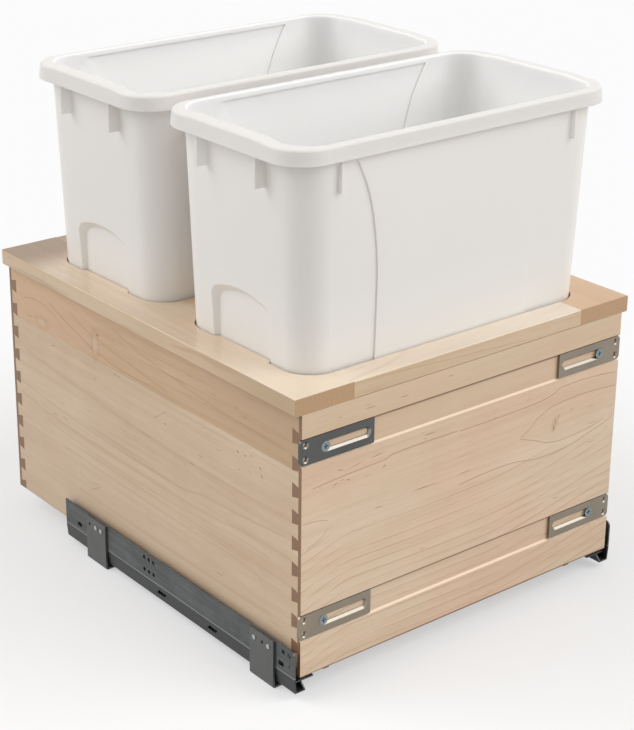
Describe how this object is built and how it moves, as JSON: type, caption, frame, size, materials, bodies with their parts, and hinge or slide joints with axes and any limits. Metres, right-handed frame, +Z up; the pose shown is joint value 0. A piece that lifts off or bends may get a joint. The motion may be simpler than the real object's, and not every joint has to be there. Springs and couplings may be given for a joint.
{
  "type": "pull out bin frame",
  "caption": "Maple pull-out box on ball runners that carries lift-out waste bins in a rounded cut-out top frame, with floor brackets and sliding door brackets.",
  "frame": {"origin": "on the cabinet floor, under the middle of the top frame", "axes": "+Z up, the front that faces the cabinet's opening is -Y, +X to the right seen from the front"},
  "size_m": [0.4106, 0.4834, 0.4976],
  "materials": {
    "maple_box": "clear satin lacquer",
    "maple_frame": "clear gloss lacquer",
    "panel_wood": "clear satin lacquer",
    "bin_plastic": "satin",
    "bracket_steel": "satin",
    "runner_steel": "zinc plated",
    "riser_paint": "satin",
    "screw_steel": "zinc plated",
    "ball_steel": "polished",
    "cage_plastic": "moulded",
    "lock_plastic": "moulded",
    "lever_plastic": "moulded"
  },
  "bodies": {
    "fixed_rails": {"cabinet_profile_left": "runner_steel", "cabinet_profile_right": "runner_steel", "riser_bracket_front_left": "riser_paint", "riser_bracket_front_right": "riser_paint", "riser_bracket_rear_left": "riser_paint", "riser_bracket_rear_right": "riser_paint", "riser_rivets_left": "screw_steel", "riser_rivets_right": "screw_steel"},
    "drawer": {"side_board_left": "maple_box", "side_board_right": "maple_box", "front_board": "maple_box", "back_board": "maple_box", "bottom_panel": "panel_wood", "hook_cleat": "panel_wood", "frame_stile_left": "maple_frame", "frame_stile_right": "maple_frame", "frame_rail_front": "maple_frame", "frame_rail_middle": "maple_frame", "frame_rail_rear": "maple_frame", "drawer_profile_left": "runner_steel", "drawer_profile_right": "runner_steel", "lock_housing_left": "lock_plastic", "lock_housing_right": "lock_plastic", "lock_screws_left": "screw_steel", "lock_screws_right": "screw_steel", "door_bracket_screws": "screw_steel"},
    "front_bin": {"front_bin": "bin_plastic"},
    "rear_bin": {"rear_bin": "bin_plastic"},
    "middle_left": {"middle_profile_left": "runner_steel"},
    "lower_cage_left": {"lower_cage_left": "cage_plastic", "lower_balls_left": "ball_steel"},
    "upper_cage_left": {"upper_cage_left": "cage_plastic", "upper_balls_left": "ball_steel"},
    "lock_lever_left": {"lock_lever_left": "lever_plastic"},
    "door_bracket_upper_left": {"door_bracket_upper_left": "bracket_steel"},
    "door_bracket_lower_left": {"door_bracket_lower_left": "bracket_steel"},
    "middle_right": {"middle_profile_right": "runner_steel"},
    "lower_cage_right": {"lower_cage_right": "cage_plastic", "lower_balls_right": "ball_steel"},
    "upper_cage_right": {"upper_cage_right": "cage_plastic", "upper_balls_right": "ball_steel"},
    "lock_lever_right": {"lock_lever_right": "lever_plastic"},
    "door_bracket_upper_right": {"door_bracket_upper_right": "bracket_steel"},
    "door_bracket_lower_right": {"door_bracket_lower_right": "bracket_steel"}
  },
  "joints": [
    {"name": "drawer_slide", "type": "slide", "parent": "fixed_rails", "child": "drawer", "axis": [0, -1, 0], "range_m": [0, 0.37]},
    {"name": "middle_left_slide", "type": "slide", "parent": "fixed_rails", "child": "middle_left", "axis": [0, -1, 0], "range_m": [0, 0.185]},
    {"name": "lower_cage_left_slide", "type": "slide", "parent": "fixed_rails", "child": "lower_cage_left", "axis": [0, -1, 0], "range_m": [0, 0.0925]},
    {"name": "upper_cage_left_slide", "type": "slide", "parent": "fixed_rails", "child": "upper_cage_left", "axis": [0, -1, 0], "range_m": [0, 0.2775]},
    {"name": "middle_right_slide", "type": "slide", "parent": "fixed_rails", "child": "middle_right", "axis": [0, -1, 0], "range_m": [0, 0.185]},
    {"name": "lower_cage_right_slide", "type": "slide", "parent": "fixed_rails", "child": "lower_cage_right", "axis": [0, -1, 0], "range_m": [0, 0.0925]},
    {"name": "upper_cage_right_slide", "type": "slide", "parent": "fixed_rails", "child": "upper_cage_right", "axis": [0, -1, 0], "range_m": [0, 0.2775]},
    {"name": "lock_lever_left_turn", "type": "hinge", "parent": "drawer", "child": "lock_lever_left", "pos_m": [-0.134, -0.1846, 0.0276], "axis": [0, 0, 1], "range_deg": [0, 6], "stiffness_Nm_per_rad": 0.05},
    {"name": "lock_lever_right_turn", "type": "hinge", "parent": "drawer", "child": "lock_lever_right", "pos_m": [0.134, -0.1846, 0.0276], "axis": [0, 0, -1], "range_deg": [0, 6], "stiffness_Nm_per_rad": 0.05},
    {"name": "door_bracket_upper_left_slide", "type": "slide", "parent": "drawer", "child": "door_bracket_upper_left", "axis": [-1, 0, 0], "range_m": [0, 0.0458]},
    {"name": "door_bracket_upper_right_slide", "type": "slide", "parent": "drawer", "child": "door_bracket_upper_right", "axis": [1, 0, 0], "range_m": [0, 0.0458]},
    {"name": "door_bracket_lower_left_slide", "type": "slide", "parent": "drawer", "child": "door_bracket_lower_left", "axis": [-1, 0, 0], "range_m": [0, 0.0458]},
    {"name": "door_bracket_lower_right_slide", "type": "slide", "parent": "drawer", "child": "door_bracket_lower_right", "axis": [1, 0, 0], "range_m": [0, 0.0458]},
    {"name": "front_bin_lift", "type": "slide", "parent": "drawer", "child": "front_bin", "axis": [0, 0, 1], "range_m": [0, 0.28]},
    {"name": "rear_bin_lift", "type": "slide", "parent": "drawer", "child": "rear_bin", "axis": [0, 0, 1], "range_m": [0, 0.28]}
  ],
  "couplings": [
    {"joint": "middle_left_slide", "follows": "drawer_slide", "ratio": 0.5},
    {"joint": "lower_cage_left_slide", "follows": "drawer_slide", "ratio": 0.25},
    {"joint": "upper_cage_left_slide", "follows": "drawer_slide", "ratio": 0.75},
    {"joint": "middle_right_slide", "follows": "drawer_slide", "ratio": 0.5},
    {"joint": "lower_cage_right_slide", "follows": "drawer_slide", "ratio": 0.25},
    {"joint": "upper_cage_right_slide", "follows": "drawer_slide", "ratio": 0.75}
  ]
}
